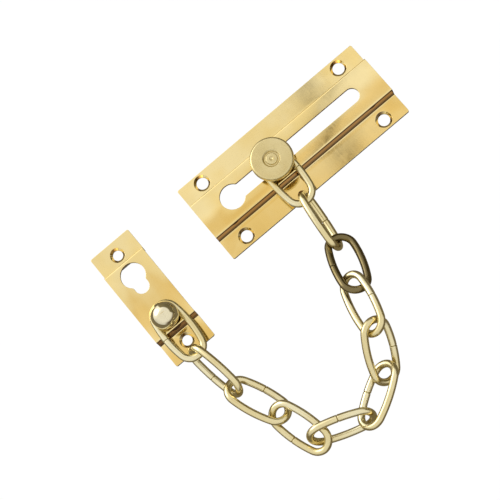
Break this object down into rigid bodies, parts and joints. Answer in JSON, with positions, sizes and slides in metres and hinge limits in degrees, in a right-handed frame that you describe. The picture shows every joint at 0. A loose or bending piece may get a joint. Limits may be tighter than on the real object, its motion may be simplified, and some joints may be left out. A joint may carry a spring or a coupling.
{
  "type": "door chain guard",
  "caption": "Door chain guard laid flat: a pressed slide plate with a keyhole slot, a sliding knob on a turned stud, oval wire links and a small plate with a dome-headed rivet.",
  "frame": {"origin": "centre of the slide plate's four screw holes, on its back face", "axes": "+X along the slot towards its closed end, +Y across the slide plate, +Z out of the door, away from the back faces"},
  "size_m": [0.1349, 0.1271, 0.0199],
  "materials": {
    "pressed_brass": "polished",
    "turned_brass": "satin",
    "wire": "polished",
    "polished_dome": "polished"
  },
  "bodies": {
    "slide_plate": {"slide_plate": "pressed_brass"},
    "stud": {"stud_spindle": "turned_brass", "knob_disc": "turned_brass"},
    "link_01": {"link_01": "wire"},
    "link_02": {"link_02": "wire"},
    "link_03": {"link_03": "wire"},
    "link_04": {"link_04": "wire"},
    "link_05": {"link_05": "wire"},
    "link_06": {"link_06": "wire"},
    "link_07": {"link_07": "wire"},
    "link_08": {"link_08": "wire"},
    "link_09": {"link_09": "wire"},
    "link_10": {"link_10": "wire"},
    "link_11": {"link_11": "wire"},
    "fixed_plate": {"fixed_plate": "pressed_brass", "dome_rivet": "polished_dome"}
  },
  "joints": [
    {"name": "stud_slide", "type": "slide", "parent": "slide_plate", "child": "stud", "axis": [1, 0, 0], "range_m": [-0.021, 0.024]},
    {"name": "link_01_swivel", "type": "hinge", "parent": "stud", "child": "link_01", "pos_m": [-0.0086, 0, 0.0084], "axis": [0, 0, 1], "range_deg": [-14, 14]},
    {"name": "link_02_swing", "type": "hinge", "parent": "link_01", "child": "link_02", "pos_m": [-0.0086, -0.021, 0.0077], "axis": [-1, 0, 0], "range_deg": [-20, 36]},
    {"name": "link_03_swing", "type": "hinge", "parent": "link_02", "child": "link_03", "pos_m": [-0.0085, -0.0399, 0.0055], "axis": [0.8867, -0.3709, -0.2759], "range_deg": [0, 40]},
    {"name": "link_04_swing", "type": "hinge", "parent": "link_03", "child": "link_04", "pos_m": [-0.0141, -0.0631, 0.0132], "axis": [0.9236, 0.018, -0.3828], "range_deg": [-40, 0]},
    {"name": "link_05_swing", "type": "hinge", "parent": "link_04", "child": "link_05", "pos_m": [-0.0238, -0.0788, 0.014], "axis": [0.8219, -0.073, 0.5649], "range_deg": [-13, 30]},
    {"name": "link_06_swing", "type": "hinge", "parent": "link_05", "child": "link_06", "pos_m": [-0.0256, -0.0909, 0.0066], "axis": [0.4162, -0.6933, 0.5883], "range_deg": [-24, 40]},
    {"name": "link_07_swing", "type": "hinge", "parent": "link_06", "child": "link_07", "pos_m": [-0.0477, -0.1012, 0.0053], "axis": [-0.4462, 0.6753, -0.5873], "range_deg": [-28, 40]},
    {"name": "link_08_swing", "type": "hinge", "parent": "link_07", "child": "link_08", "pos_m": [-0.0611, -0.0923, 0.0076], "axis": [-0.139, 0.9891, 0.048], "range_deg": [-12, 40]},
    {"name": "link_09_swing", "type": "hinge", "parent": "link_08", "child": "link_09", "pos_m": [-0.0738, -0.0783, 0.0027], "axis": [0.263, 0.9321, 0.249], "range_deg": [-14, 40]},
    {"name": "link_10_swing", "type": "hinge", "parent": "link_09", "child": "link_10", "pos_m": [-0.0781, -0.0567, 0.0057], "axis": [0.803, 0.369, -0.468], "range_deg": [-40, 40]},
    {"name": "link_11_swing", "type": "hinge", "parent": "link_10", "child": "link_11", "pos_m": [-0.0777, -0.0399, 0.0078], "axis": [-1, 0, 0], "range_deg": [-40, 28]},
    {"name": "fixed_plate_swivel", "type": "hinge", "parent": "link_11", "child": "fixed_plate", "pos_m": [-0.0798, -0.0203, 0.0084], "axis": [0, 0, 1], "range_deg": [-30, 30]}
  ]
}
